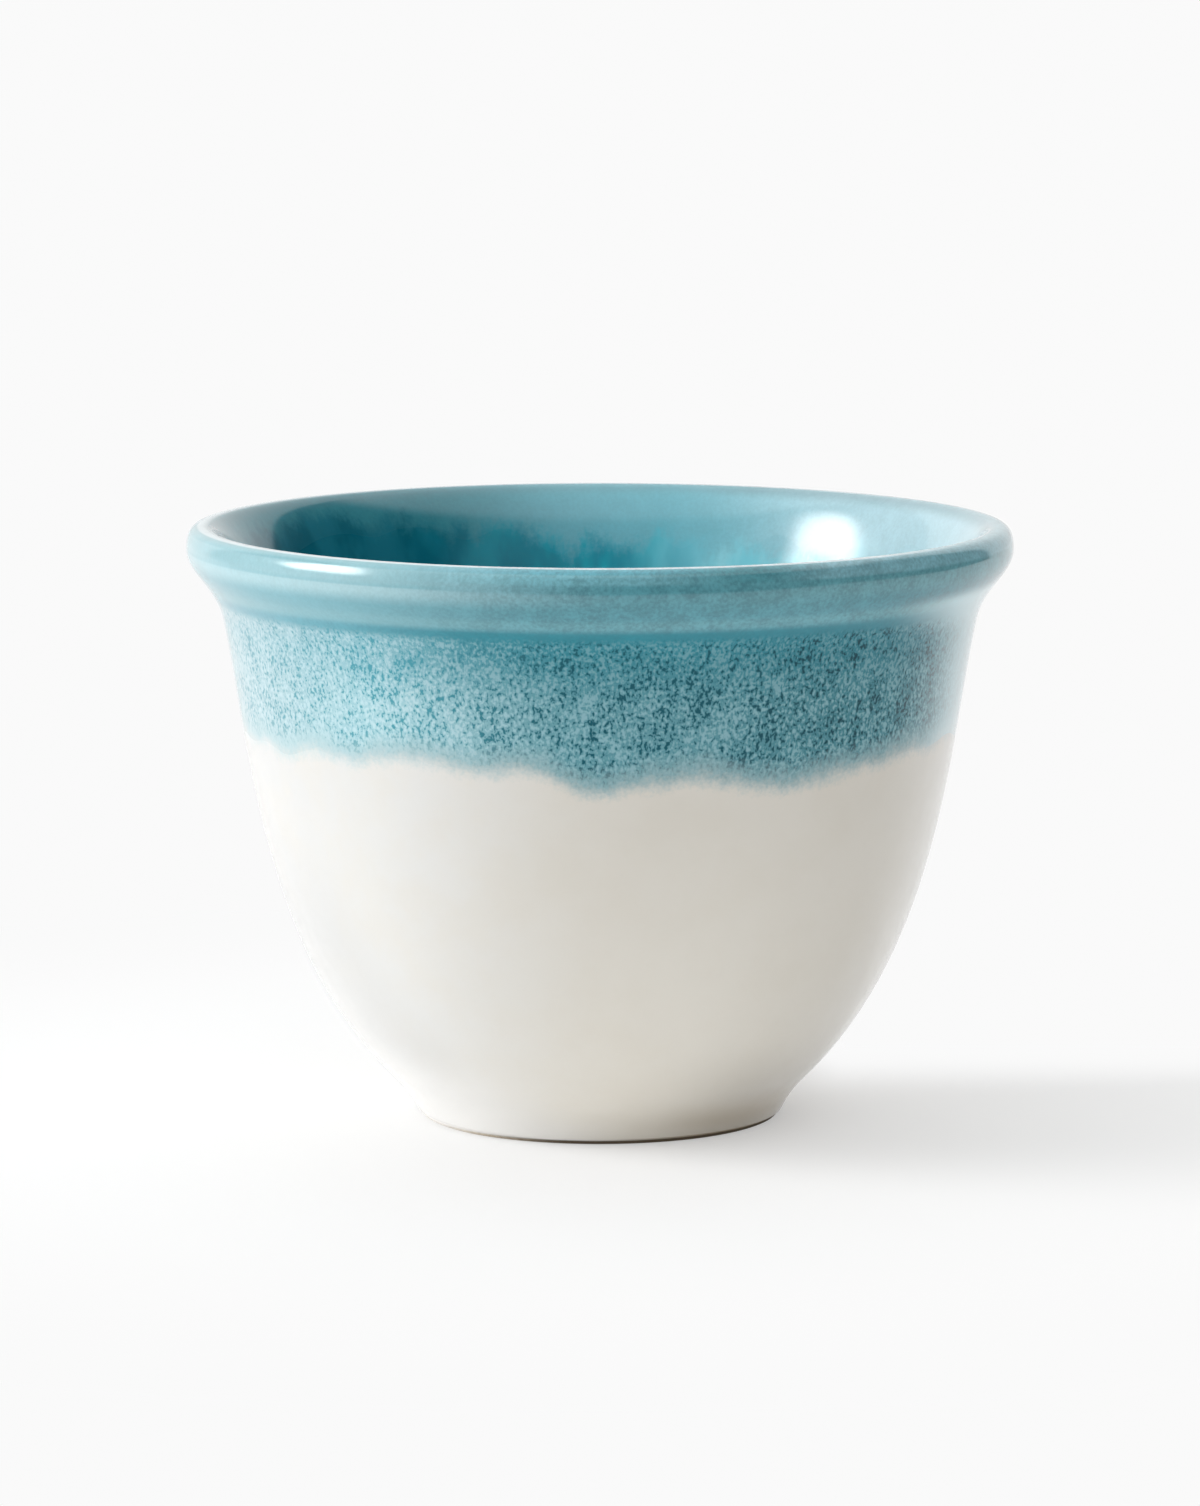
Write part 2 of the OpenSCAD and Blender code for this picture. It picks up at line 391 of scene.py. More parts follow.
def clay_piece():
    """The fired clay under the glaze, with its bare ring on the table."""
    under_rows = np.linspace(0, UNDERSIDE_S[-1], UNDER_ROWS + 1)
    under = [on_path(UNDERSIDE, UNDERSIDE_S, s, GLAZE_T) for s in under_rows]
    skin_rows = np.linspace(0, SKIN_END, WHITE_ROWS + TURQUOISE_ROWS + LINER_ROWS)
    skin = [on_path(SKIN, SKIN_S, s, GLAZE_T) for s in skin_rows]
    ring_in = np.array(under[-1])
    ring_out = np.array(skin[0])
    left = np.array([ring_in[0] + BARE_H, 0])
    right = np.array([ring_out[0] - BARE_H, 0])
    ring = np.vstack([
        corner(ring_in, np.array([ring_in[0], 0]), left),
        np.linspace(left, right, CORNER_ROWS),
        corner(right, np.array([ring_out[0], 0]), ring_out),
    ])
    rows = [around(r, z) for r, z in [*under, *ring, *skin]]
    rows[0] = pole(rows[0][0, 2])
    rows[-1] = pole(rows[-1][0, 2])
    return ring_mesh("clay_core", rows)


def new_material(name):
    """An empty material and its node tree."""
    material = bpy.data.materials.new(name)
    material.use_nodes = True
    material.node_tree.nodes.clear()
    return material, material.node_tree


def put(tree, socket, value):
    """Sets a socket to a value, or links it to another socket."""
    if isinstance(value, bpy.types.NodeSocket):
        tree.links.new(value, socket)
    elif socket.type == "RGBA":
        socket.default_value = value + (1.0,)
    else:
        socket.default_value = value


def calc(tree, operation, a, b=None, clamp=False):
    """Math node."""
    n = tree.nodes.new("ShaderNodeMath")
    n.operation = operation
    n.use_clamp = clamp
    put(tree, n.inputs[0], a)
    if b is not None:
        put(tree, n.inputs[1], b)
    return n.outputs[0]


def times(tree, *values):
    """Product of several values."""
    product = values[0]
    for value in values[1:]:
        product = calc(tree, "MULTIPLY", product, value)
    return product


def smooth(tree, value, low, high, to_low=0.0, to_high=1.0):
    """Smooth step of a value between two limits."""
    n = tree.nodes.new("ShaderNodeMapRange")
    n.interpolation_type = "SMOOTHSTEP"
    put(tree, n.inputs["Value"], value)
    put(tree, n.inputs["From Min"], low)
    put(tree, n.inputs["From Max"], high)
    put(tree, n.inputs["To Min"], to_low)
    put(tree, n.inputs["To Max"], to_high)
    return n.outputs["Result"]


def mix(tree, factor, a, b):
    """Colour mix; the node's colour sockets are its inputs 6 and 7 and its output 2."""
    n = tree.nodes.new("ShaderNodeMix")
    n.data_type = "RGBA"
    put(tree, n.inputs[0], factor)
    put(tree, n.inputs[6], a)
    put(tree, n.inputs[7], b)
    return n.outputs[2]


def place_of(tree, stretch_z=1.0):
    """Place on the piece in metres, with patterns stretched along the height."""
    n = tree.nodes.new("ShaderNodeTexCoord")
    m = tree.nodes.new("ShaderNodeMapping")
    m.inputs["Scale"].default_value = (1.0, 1.0, 1.0 / stretch_z)
    tree.links.new(n.outputs["Object"], m.inputs["Vector"])
    return m.outputs["Vector"]


def place_parts(tree, kind="Object"):
    """The parts of the place or direction along X, Y and Z."""
    n = tree.nodes.new("ShaderNodeTexCoord")
    s = tree.nodes.new("ShaderNodeSeparateXYZ")
    tree.links.new(n.outputs[kind], s.inputs[0])
    return s.outputs


def noise(tree, place, scale, detail, rough, warp=0.0):
    """Noise between 0 and 1, whose grains measure about one over the scale in metres."""
    n = tree.nodes.new("ShaderNodeTexNoise")
    put(tree, n.inputs["Vector"], place)
    put(tree, n.inputs["Scale"], scale)
    put(tree, n.inputs["Detail"], detail)
    put(tree, n.inputs["Roughness"], rough)
    put(tree, n.inputs["Distortion"], warp)
    return n.outputs["Fac"]


def swing(tree, value, width):
    """A noise moved to swing about zero, over that width at most."""
    return times(tree, calc(tree, "SUBTRACT", value, 0.5), width)


def stored(tree, name):
    """A value that the mesh stores at its points."""
    n = tree.nodes.new("ShaderNodeAttribute")
    n.attribute_name = name
    return n.outputs["Fac"]


def step(tree, along, *span):
    """Smooth step along X or Z in millimetres, or towards where the surface turns edge on."""
    if along == "edge":
        value = tree.nodes.new("ShaderNodeLayerWeight").outputs["Facing"]
    else:
        value = times(tree, place_parts(tree)[along], 1.0 / MM)
    return smooth(tree, value, *span)


def steps(tree, several):
    """Product of several steps."""
    return times(tree, *[step(tree, *one) for one in several])


def toned(tree, colours, spans):
    """A colour that changes to the next one over each span along X in millimetres."""
    colour = colours[0]
    for following, span in zip(colours[1:], spans, strict=True):
        colour = mix(tree, step(tree, "X", *span), colour, following)
    return colour


def bump(tree, relief, distance):
    """Bump from a relief, where 1 is that distance in metres."""
    n = tree.nodes.new("ShaderNodeBump")
    put(tree, n.inputs["Distance"], distance)
    put(tree, n.inputs["Height"], relief)
    return n.outputs["Normal"]


def light_of(tree, kind, colour, strength):
    """Even light of an emission or background node."""
    n = tree.nodes.new(kind)
    put(tree, n.inputs["Color"], colour)
    put(tree, n.inputs["Strength"], strength)
    return n.outputs[0]


def either(tree, factor, first, second):
    """One shader where the factor is 0, another where it is 1."""
    n = tree.nodes.new("ShaderNodeMixShader")
    put(tree, n.inputs[0], factor)
    put(tree, n.inputs[1], first)
    put(tree, n.inputs[2], second)
    return n.outputs[0]


def show(tree, shader, kind="ShaderNodeOutputMaterial"):
    """Ends a node tree in its output."""
    out = tree.nodes.new(kind)
    tree.links.new(shader, out.inputs["Surface"])


def finish_surface(tree, colour, roughness, normal, settings):
    """Principled surface with the settings on its sockets."""
    n = tree.nodes.new("ShaderNodeBsdfPrincipled")
    put(tree, n.inputs["Base Color"], colour)
    put(tree, n.inputs["Roughness"], roughness)
    put(tree, n.inputs["Normal"], normal)
    for key, value in settings.items():
        put(tree, n.inputs[key], value)
    show(tree, n.outputs[0])


# Linear colours of the fired glazes. Where there are several, they run from the left of the cup
# to its right, and change over the spans along X in millimetres. These changes are painted light
# and shade from the soft box at the left: the turquoise mostly paler and whiter at the left and
# darker at the right, the white more neutral and a little darker at the left, where the lamp is
# strongest, and the inside paler at the right, where the box shines on the inner wall.
# A step is an axis with two places on it in millimetres, or "edge" with two values of the turn
# from the eye; it rises from 0 to 1, or between two further numbers.
# A noise is its scale, detail, roughness and, if any, its distortion. Its limits are two of its
# values, between which the effect comes in from 0 to 1, or between two further numbers.
WHITES = ((0.69, 0.69, 0.68), (0.735, 0.735, 0.72), (0.77, 0.737, 0.67))
WHITE_SPANS = ((-26.0, -18.0), (-18.0, 2.0))
# Painted bounce light: the white paler low at the left
WHITE_BOUNCE_LIGHT = (0.795, 0.785, 0.765)
# Painted shade on the right, and low at the right
WHITE_SHADE = (0.50, 0.465, 0.405)
# Painted shade where the white turns away at the left limb
WHITE_LIMB_SHADE = (0.60, 0.60, 0.59)
WHITE_WARM = (0.73, 0.687, 0.605)
# Painted shade, warm and brown, at the right of the foot
FOOT_SHADE = (0.44, 0.37, 0.27)
FOOT_WARM_SHADE = (0.35, 0.27, 0.14)
WHITE_CLOUDS = (150.0, 3.0, 0.6)
WHITE_CLOUD_LIMITS = (0.35, 0.7, 0.0, 0.35)
WHITE_SPECKS = (2200.0, 2.0, 0.6)
WHITE_SPECK_LIMITS = (0.58, 0.75, 0.0, 0.10)
# Painted light and shade on the white, in the order they are laid on, each with the steps that
# bring it in: bounce light low at the left, shade on the right and low at the right, shade at
# the left limb, and warm shade at the right of the foot
WHITE_LIGHT_AND_SHADE = (
    (WHITE_BOUNCE_LIGHT, (("Z", 8.0, 1.5), ("X", -2.0, -12.0))),
    (WHITE_BOUNCE_LIGHT, (("Z", 3.0, 0.8, 0.0, 0.6), ("X", 4.0, -6.0))),
    (WHITE_SHADE, (("X", 6.0, 22.0, 0.0, 0.15),)),
    (WHITE_LIMB_SHADE, (
        ("edge", 0.33, 0.62, 0.0, 0.7),
        ("X", -9.0, -14.0),
        ("Z", 28.0, 16.0),
        ("Z", 4.5, 9.0, 0.2, 1.0),
    )),
    (WHITE_SHADE, (("Z", 10.0, 3.5, 0.0, 0.6), ("X", 4.0, 14.0))),
    (FOOT_SHADE, (("Z", 4.6, 1.4, 0.0, 0.62), ("Z", 0.3, 1.8, 0.4, 1.0), ("X", -1.0, 14.0))),
    (FOOT_WARM_SHADE, (("Z", 4.5, 2.5, 0.0, 0.3), ("X", 11.0, 15.0))),
)


def clouded_white(tree):
    """Satin white with faint warm clouds and specks, toned from left to right with painted light.
    """
    place = place_of(tree)
    clouds = smooth(tree, noise(tree, place, *WHITE_CLOUDS), *WHITE_CLOUD_LIMITS)
    specks = smooth(tree, noise(tree, place, *WHITE_SPECKS), *WHITE_SPECK_LIMITS)
    colour = mix(tree, clouds, toned(tree, WHITES, WHITE_SPANS), WHITE_WARM)
    return mix(tree, specks, colour, WHITE_WARM)


def white_colour(tree):
    """The clouded white, with painted light low at the left and painted shade at the right and
    left limb.
    """
    colour = clouded_white(tree)
    for painted_tone, several in WHITE_LIGHT_AND_SHADE:
        colour = mix(tree, steps(tree, several), colour, painted_tone)
    return colour


# Fine grain and faint patches of the smooth turquoise, and the grain's part in their sum
GRAIN = (3300.0, 2.0, 0.6)
GRAIN_PATCHES = (620.0, 2.0, 0.5)
GRAIN_PART = 0.6
GRAIN_LIMITS = (0.3, 0.7)


def grained(tree, colour, amount):
    """A colour made lighter and darker by up to the amount, in a fine grain and patches."""
    place = place_of(tree)
    grain = times(tree, noise(tree, place, *GRAIN), GRAIN_PART)
    patches = times(tree, noise(tree, place, *GRAIN_PATCHES), 1.0 - GRAIN_PART)
    darkest = calc(tree, "SUBTRACT", 1.0, amount)
    lightest = calc(tree, "ADD", 1.0, amount)
    light = smooth(tree, calc(tree, "ADD", grain, patches), *GRAIN_LIMITS, darkest, lightest)
    n = tree.nodes.new("ShaderNodeVectorMath")
    n.operation = "SCALE"
    put(tree, n.inputs[0], colour)
    put(tree, n.inputs["Scale"], light)
    return n.outputs[0]


# Turquoise of the collar, from the ridge above the groove up to the crest, in bands of painted
# reflection and shade
# Painted reflections: the ridge just above the groove lighter, the roll of the lip darker at the
# left
RIDGE_AND_ROLL_REFLECTIONS = ((0.19, 0.44, 0.50), (0.115, 0.34, 0.40), (0.07, 0.29, 0.345))
# Painted shade under the lip, where the gloss would mirror the dark below it
LIP_UNDER_SHADES = ((0.16, 0.41, 0.48), (0.075, 0.285, 0.345), (0.03, 0.21, 0.265))
COLLAR_SPANS = ((-24.0, -3.0), (16.0, 27.0))
LIPS = ((0.39, 0.60, 0.65), (0.10, 0.325, 0.385), (0.125, 0.34, 0.39))
LIP_SPANS = ((-25.0, 4.0), (2.0, 28.0))
# Painted reflections: the rim bands are toned along X to copy the dark and light seen in its gloss
RIMS = ((0.34, 0.56, 0.61), (0.16, 0.43, 0.50), (0.08, 0.305, 0.36), (0.22, 0.46, 0.53))
RIM_TOPS = ((0.26, 0.49, 0.54), (0.09, 0.36, 0.44), (0.05, 0.27, 0.32), (0.22, 0.46, 0.53))
RIM_SPANS = ((-23.0, 0.0), (3.0, 12.0), (12.5, 19.5))
# Painted highlight: a thin pale line along the crest
CREST_HIGHLIGHT = (0.74, 0.84, 0.87)
RIDGE_STEP = ("Z", 46.4, 45.7)
LIP_STEP = ("Z", 46.8, 48.2)
ROLL_REFLECTION_STEPS = (("Z", 48.42, 48.6), ("Z", 48.95, 48.6, 0.4, 1.0), ("X", -8.0, -16.0, 0.0, 0.48))
ROLL_SPANS = ((-24.0, -3.0), (2.0, 28.0))
RIM_STEP = ("Z", 49.0, 49.3)
RIM_TOP_STEP = ("Z", 49.85, 50.05)
CREST_HIGHLIGHT_STEPS = (("Z", 50.31, 50.375, 0.0, 0.8), ("X", 30.0, 20.0))
COLLAR_GRAIN_STEP = ("X", -20.0, -2.0, 0.05, 0.22)


def collar_colour(tree):
    """Turquoise of the collar, with painted reflections and shade in bands and a painted crest
    highlight.
    """
    low = toned(tree, LIP_UNDER_SHADES, COLLAR_SPANS)
    ridge = toned(tree, RIDGE_AND_ROLL_REFLECTIONS, COLLAR_SPANS)
    colour = mix(tree, step(tree, *RIDGE_STEP), low, ridge)
    colour = mix(tree, step(tree, *LIP_STEP), colour, toned(tree, LIPS, LIP_SPANS))
    colour = mix(tree, steps(tree, ROLL_REFLECTION_STEPS), colour, toned(tree, RIDGE_AND_ROLL_REFLECTIONS, ROLL_SPANS))
    colour = mix(tree, step(tree, *RIM_STEP), colour, toned(tree, RIMS, RIM_SPANS))
    colour = mix(tree, step(tree, *RIM_TOP_STEP), colour, toned(tree, RIM_TOPS, RIM_SPANS))
    colour = mix(tree, steps(tree, CREST_HIGHLIGHT_STEPS), colour, CREST_HIGHLIGHT)
    return grained(tree, colour, step(tree, *COLLAR_GRAIN_STEP))


# Dipped band: dark flecks and pale ones on a ground, nearer the groove's colour at its top
# Paler and whiter at the left, darker at the right: painted light and shade
GROUNDS = ((0.36, 0.55, 0.60), (0.35, 0.60, 0.66), (0.12, 0.345, 0.405), (0.06, 0.245, 0.295))
DARKS = ((0.11, 0.34, 0.41), (0.07, 0.33, 0.41), (0.0, 0.10, 0.14), (0.0, 0.06, 0.085))
PALES = ((0.47, 0.64, 0.68), (0.50, 0.70, 0.745), (0.27, 0.51, 0.57), (0.23, 0.45, 0.505))
BAND_SPANS = ((-26.0, -18.0), (-18.5, -1.0), (5.0, 21.0))
# The groove is darker where the glaze pools in it, and darker still with painted shade under the
# lip
GROOVES = ((0.11, 0.36, 0.44), (0.02, 0.25, 0.32), (0.03, 0.22, 0.28))
GROOVE_SPANS = ((-24.0, -9.0), (2.0, 28.0))
GROOVE_STEP = ("Z", 43.8, 44.7)
GROOVE_GRAIN = 0.08
COLLAR_STEP = ("Z", 44.85, 45.45)
FLECK_STRETCH = 1.35
FLECKS = (3500.0, 3.0, 0.55, 0.25)
FLECK_PATCHES = (420.0, 2.0, 0.5)
FLECK_SWING = 0.3
DARK_LIMITS = (0.37, 0.455)
PALE_LIMITS = (0.495, 0.63)
BAND_TOP_STEPS = (("Z", 38.0, 43.8), ("X", -26.0, -8.0, 0.3, 1.0))
BAND_TOP_GROUND = 0.8
BAND_TOP_PALE = 0.5


def band_flecks(tree):
    """Fleck pattern of the dipped band, denser and thinner in patches."""
    place = place_of(tree, FLECK_STRETCH)
    patches = swing(tree, noise(tree, place, *FLECK_PATCHES), FLECK_SWING)
    return calc(tree, "ADD", noise(tree, place, *FLECKS), patches)


def band_colour(tree):
    """Mottled turquoise of the dipped band, and the groove and the collar above it."""
    fleck = band_flecks(tree)
    high = steps(tree, BAND_TOP_STEPS)
    groove = toned(tree, GROOVES, GROOVE_SPANS)
    ground = toned(tree, GROUNDS, BAND_SPANS)
    ground = mix(tree, times(tree, high, BAND_TOP_GROUND), ground, groove)
    pale = toned(tree, PALES, BAND_SPANS)
    pale = mix(tree, times(tree, high, BAND_TOP_PALE), pale, groove)
    dark = toned(tree, DARKS, BAND_SPANS)
    colour = mix(tree, smooth(tree, fleck, *DARK_LIMITS), dark, ground)
    colour = mix(tree, smooth(tree, fleck, *PALE_LIMITS), colour, pale)
    colour = mix(tree, step(tree, *GROOVE_STEP), colour, grained(tree, groove, GROOVE_GRAIN))
    return mix(tree, step(tree, *COLLAR_STEP), colour, collar_colour(tree))


# Lower edge of the dipped band, in millimetres along the skin above the glaze line: a thin
# veil over the white, then the full colour
# Paler at the left, darker to the right: painted light and shade
EDGES = ((0.43, 0.60, 0.63), (0.32, 0.49, 0.52), (0.31, 0.46, 0.49))
EDGE_SPANS = ((-24.0, -3.0), (2.0, 28.0))
EDGE_RISE = 0.35
EDGE_WANDER = (420.0, 3.0, 0.6)
EDGE_WANDER_MM = 1.6
EDGE_DUST = (3200.0, 2.0, 0.6)
EDGE_DUST_MM = 1.2
VEIL_MM = (-1.4, 0.8)
BODY_MM = (-0.4, 2.4)


def outer_colour(tree):
    """Colour of the outside, continuous over the glaze line."""
    place = place_of(tree)
    wander = swing(tree, noise(tree, place, *EDGE_WANDER), EDGE_WANDER_MM)
    dust = swing(tree, noise(tree, place, *EDGE_DUST), EDGE_DUST_MM)
    above = calc(tree, "SUBTRACT", stored(tree, "above_line"), EDGE_RISE)
    edge = calc(tree, "ADD", above, calc(tree, "ADD", wander, dust))
    veil = smooth(tree, edge, *VEIL_MM)
    body = smooth(tree, edge, *BODY_MM)
    colour = mix(tree, veil, white_colour(tree), toned(tree, EDGES, EDGE_SPANS))
    return mix(tree, body, colour, band_colour(tree))


# Inside of the lip, and the deep teal under it in soft runs; distances along the skin
# The inside colours grow much paler towards the right: painted light where the soft box shines on
# the inner wall
INNER_LIPS = ((0.04, 0.26, 0.315), (0.15, 0.455, 0.535), (0.47, 0.67, 0.73))
INNER_LIP_SPANS = ((-17.0, 0.0), (5.0, 27.0))
INNER_LIP_GRAIN = 0.06
LINERS = ((0.01, 0.19, 0.255), (0.0, 0.42, 0.52), (0.32, 0.69, 0.76), (0.53, 0.74, 0.79))
LINER_DARKS = ((0.0, 0.14, 0.195), (0.0, 0.29, 0.385), (0.21, 0.61, 0.70), (0.48, 0.71, 0.77))
LINER_SPANS = ((-19.0, -1.0), (0.0, 13.0), (18.0, 25.0))
LINER_STRETCH = 4.0
LINER_WANDER = (560.0, 3.0, 0.6)
LINER_WANDER_MM = 4.4
LINER_DUST = (2400.0, 2.0, 0.6)
LINER_DUST_MM = 1.6
LINER_RUNS = (300.0, 3.0, 0.55)
LINER_RUN_LIMITS = (0.36, 0.62)
DEEP_MM = (-1.0, 1.4)
RIM_SHADE = (0.12, 0.22, 0.25)
RIM_SHADE_MM = (2.0, 0.7)
RIM_SHADE_STEP = ("X", 7.0, 14.0, 0.35, 0.5)


def liner_colour(tree):
    """Inside of the lip, and the deep teal in soft runs below its wavy line."""
    streaks = place_of(tree, LINER_STRETCH)
    wander = swing(tree, noise(tree, streaks, *LINER_WANDER), LINER_WANDER_MM)
    dust = swing(tree, noise(tree, place_of(tree), *LINER_DUST), LINER_DUST_MM)
    edge = calc(tree, "ADD", stored(tree, "below_line"), calc(tree, "ADD", wander, dust))
    runs = smooth(tree, noise(tree, streaks, *LINER_RUNS), *LINER_RUN_LIMITS)
    dark = toned(tree, LINER_DARKS, LINER_SPANS)
    liner = mix(tree, runs, dark, toned(tree, LINERS, LINER_SPANS))
    lip = grained(tree, toned(tree, INNER_LIPS, INNER_LIP_SPANS), INNER_LIP_GRAIN)
    rim = smooth(tree, stored(tree, "past_crest"), *RIM_SHADE_MM)
    lip = mix(tree, times(tree, rim, step(tree, *RIM_SHADE_STEP)), lip, RIM_SHADE)
    return mix(tree, smooth(tree, edge, *DEEP_MM), lip, liner)


# Surfaces: a ripple is a noise, and a bump is the depth of its relief in metres
GLAZE_IOR = 1.5
SATIN = {"IOR": GLAZE_IOR, "Sheen Weight": 0.2, "Sheen Roughness": 0.5}
WHITE_RIPPLE = (260.0, 2.0, 0.5)
WHITE_BUMP = 0.00003
WHITE_MATT = (700.0, 2.0, 0.6)
WHITE_ROUGH_LIMITS = (0.3, 0.7, 0.36, 0.46)
WHITE_GLOSS_STEP = ("edge", 0.4, 0.7)
WHITE_COAT_ROUGH = 0.15
INSIDE_MM = (-0.3, 0.6)
# Painted reflection of the pale room where the dipped coat turns edge on at the right, below the
# lip
LIMB_REFLECTION = (0.56, 0.78, 0.83)
LIMB_REFLECTION_STEPS = (("edge", 0.51, 0.80, 0.0, 0.7), ("X", 0.0, 10.0), ("Z", 46.9, 45.6))
DIP_RIPPLE = (500.0, 2.0, 0.5)
DIP_BUMP = 0.000025
DIP_ROUGH = 0.34
DIP_SPECULAR = 0.15
DIP_GLOSS_STEP = ("Z", 43.6, 46.0, 0.2, 1.0)
DIP_EDGE_GLOSS_STEP = ("edge", 0.35, 0.62)
DIP_COAT_ROUGH = 0.06
FLECK_RELIEF = 0.5
LINER_RIPPLE = (400.0, 2.0, 0.5)
LINER_BUMP = 0.00002
LINER_ROUGH = 0.08
LINER_GLOSS = {"IOR": 1.52}
UNDER_RIPPLE = (500.0, 3.0, 0.6)
UNDER_BUMP = 0.00004
UNDER_ROUGH = 0.42


def white_material():
    """Satin white, with more gloss where it turns edge on."""
    material, tree = new_material("satin_white_glaze")
    place = place_of(tree)
    normal = bump(tree, noise(tree, place, *WHITE_RIPPLE), WHITE_BUMP)
    rough = smooth(tree, noise(tree, place, *WHITE_MATT), *WHITE_ROUGH_LIMITS)
    gloss = {
        "Coat Weight": step(tree, *WHITE_GLOSS_STEP),
        "Coat Roughness": WHITE_COAT_ROUGH,
        "Coat IOR": GLAZE_IOR,
    }
    finish_surface(tree, outer_colour(tree), rough, normal, SATIN | gloss)
    return material


def turquoise_relief(tree):
    """Ripples of the dipped coat, and its flecks below the groove."""
    ripple = noise(tree, place_of(tree), *DIP_RIPPLE)
    below = calc(tree, "SUBTRACT", 1.0, step(tree, *GROOVE_STEP))
    return calc(tree, "ADD", ripple, times(tree, band_flecks(tree), below, FLECK_RELIEF))


def turquoise_material():
    """Dipped coat: mottled and half glossy on the wall, glossy on the collar and the lip."""
    material, tree = new_material("turquoise_glaze_dip")
    inside = smooth(tree, stored(tree, "past_crest"), *INSIDE_MM)
    colour = mix(tree, inside, outer_colour(tree), liner_colour(tree))
    # Painted reflection: paler where the coat turns edge on at the right
    colour = mix(tree, steps(tree, LIMB_REFLECTION_STEPS), colour, LIMB_REFLECTION)
    normal = bump(tree, turquoise_relief(tree), DIP_BUMP)
    gloss = calc(tree, "MAXIMUM", step(tree, *DIP_GLOSS_STEP), step(tree, *DIP_EDGE_GLOSS_STEP))
    settings = {
        "IOR": GLAZE_IOR,
        "Specular IOR Level": DIP_SPECULAR,
        "Coat Weight": gloss,
        "Coat Roughness": DIP_COAT_ROUGH,
        "Coat IOR": GLAZE_IOR,
    }
    finish_surface(tree, colour, DIP_ROUGH, normal, settings)
    return material


def liner_material():
    """Glossy deep teal."""
    material, tree = new_material("deep_teal_liner_glaze")
    normal = bump(tree, noise(tree, place_of(tree), *LINER_RIPPLE), LINER_BUMP)
    finish_surface(tree, liner_colour(tree), LINER_ROUGH, normal, LINER_GLOSS)
    return material


def underside_material():
    """Satin white in the hollow of the foot."""
    material, tree = new_material("satin_white_under_foot")
    normal = bump(tree, noise(tree, place_of(tree), *UNDER_RIPPLE), UNDER_BUMP)
    finish_surface(tree, clouded_white(tree), UNDER_ROUGH, normal, SATIN)
    return material


# Bare clay, under a thin rest of glaze at its upper edge. Painted light makes both paler at the
# left, painted shade makes the rest of glaze brown at the right, and a painted contact shadow is
# a dark line just above the contact
CLAY = (0.62, 0.54, 0.44)
CLAY_DARK = (0.45, 0.37, 0.28)
CLAY_CONTACT_SHADE = (0.10, 0.075, 0.045)
CLAY_GRAIN = (1800.0, 4.0, 0.7)
CLAY_GRAIN_LIMITS = (0.35, 0.65)
CLAY_LIT_STEP = ("X", -9.0, -14.0, 0.0, 0.7)
CLAY_REST_STEP = ("Z", 0.2, 0.34)
CLAY_REST_SHADE_STEP = ("X", -4.0, 10.0)
CONTACT_SHADE_STEPS = (("Z", 0.005, 0.05), ("Z", 0.40, 0.28), ("X", -12.0, -2.0))
CLAY_BUMP = 0.00006
CLAY_ROUGH = 0.85
CLAY_IOR = 1.45


def clay_material():
    """Bare fired clay of the foot ring."""
    material, tree = new_material("bare_fired_clay")
    grain = noise(tree, place_of(tree), *CLAY_GRAIN)
    colour = mix(tree, smooth(tree, grain, *CLAY_GRAIN_LIMITS), CLAY_DARK, CLAY)
    # Painted light: the clay paler at the left
    colour = mix(tree, step(tree, *CLAY_LIT_STEP), colour, WHITE_BOUNCE_LIGHT)
    # The rest of glaze has painted light at the left and painted shade at the right
    rest = mix(tree, step(tree, *CLAY_REST_SHADE_STEP), WHITE_BOUNCE_LIGHT, FOOT_SHADE)
    colour = mix(tree, step(tree, *CLAY_REST_STEP), colour, rest)
    # Painted contact shadow: a dark line just above the contact
    colour = mix(tree, steps(tree, CONTACT_SHADE_STEPS), colour, CLAY_CONTACT_SHADE)
    finish_surface(tree, colour, CLAY_ROUGH, bump(tree, grain, CLAY_BUMP), {"IOR": CLAY_IOR})
    return material


def dress(piece, node, material):
    """Puts a piece in the place of its CAD node."""
    piece.data.materials.append(material)
    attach(piece, "root")
    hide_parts(node)


def build_cup():
    """The five pieces of the cup."""
    white = coat("white_glaze_coat", coat_rows(0.0, OUTER_S, WHITE_ROWS))
    turquoise = coat("turquoise_glaze_coat", coat_rows(OUTER_S, INNER_S, TURQUOISE_ROWS))
    liner = coat("liner_glaze_coat", coat_rows(INNER_S, SKIN_END, LINER_ROWS), closed=True)
    dress(clay_piece(), "clay_body", clay_material())
    dress(white, "white_glaze", white_material())
    dress(turquoise, "turquoise_glaze", turquoise_material())
    dress(liner, "liner_glaze", liner_material())
    dress(underside_coat(), "underside_glaze", underside_material())


# Table, in metres; its near edge and sides show in the gloss of the lip
TABLE_FRONT = -0.24
TABLE_BACK = 3.0
TABLE_SIDE = 0.7
TABLE_COLOUR = (0.90, 0.90, 0.8955)
TABLE_GLOW = 0.22
# White that the camera sees behind the table, and more and more on it away from the cup
PLAIN_WHITE = (0.955, 0.955, 0.955)
PLAIN_NEAR = 0.45
PLAIN_FROM = 0.025
PLAIN_TO = 0.11
# Beside the cup the shadow ends in a line that runs to the right
SHADOW_BACK = (0.0, 0.030)
SHADOW_SIDE = (0.014, 0.022)
LAMP_WHITE = (1.0, 1.0, 1.0)


